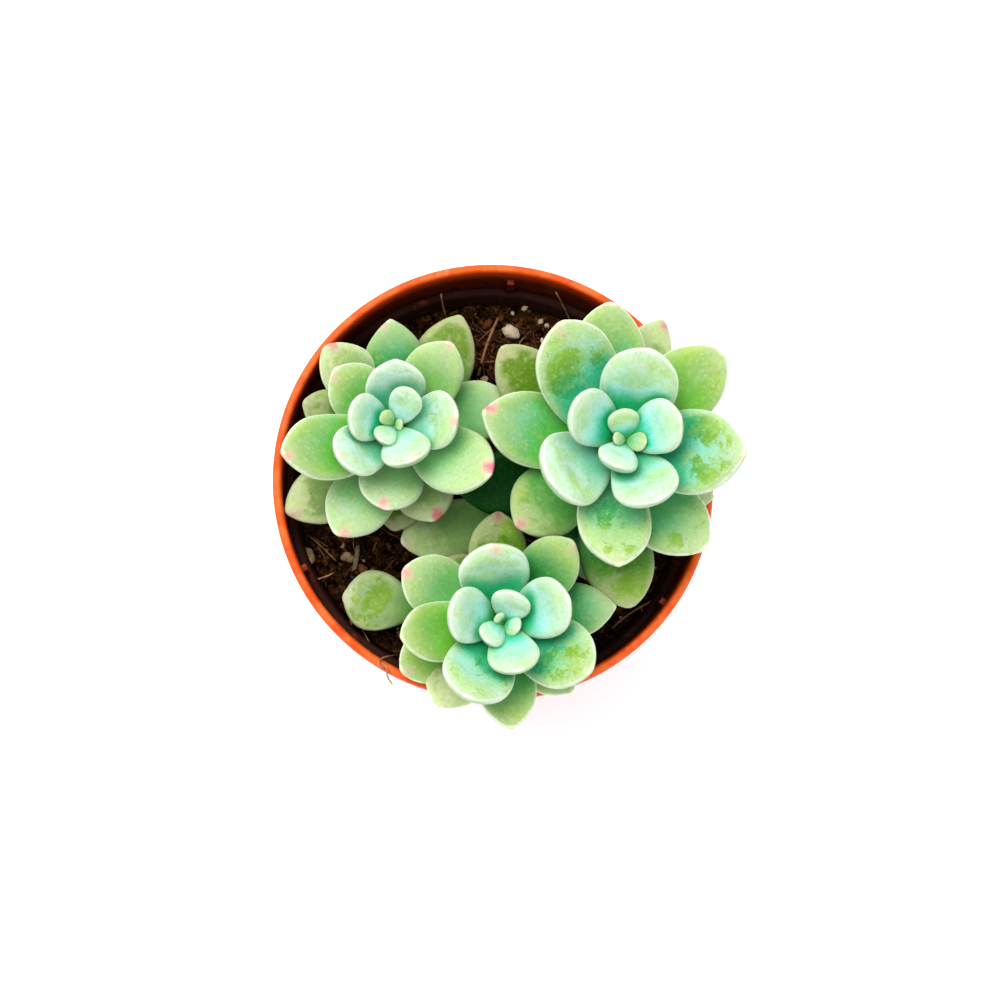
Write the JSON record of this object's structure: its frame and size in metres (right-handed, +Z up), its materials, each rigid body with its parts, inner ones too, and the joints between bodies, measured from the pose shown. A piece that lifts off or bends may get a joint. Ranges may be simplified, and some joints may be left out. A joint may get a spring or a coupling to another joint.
{
  "type": "potted sedum clavatum",
  "caption": "Small orange plastic nursery pot of dark soil holding leafy succulent stems, each ending in a rosette of thick, waxy, blunt green leaves that spread over the rim.",
  "frame": {"origin": "centre of the pot's flat underside, on the ground", "axes": "+Z up the pot's own axis, +X to the right and +Y to the top of the picture"},
  "size_m": [0.0871, 0.0909, 0.1016],
  "materials": {
    "pot": "smooth moulded orange plastic with a soft gloss",
    "soil": "dark damp peat, rough and matt, standing in for soil",
    "leaf": "fleshy green leaf under a pale waxy bloom, satin where the bloom is rubbed off"
  },
  "bodies": {
    "root": {"pot": "pot", "soil": "soil", "rosette_right": "leaf", "rosette_left": "leaf", "rosette_front": "leaf", "shed_leaf": "leaf"}
  },
  "joints": []
}
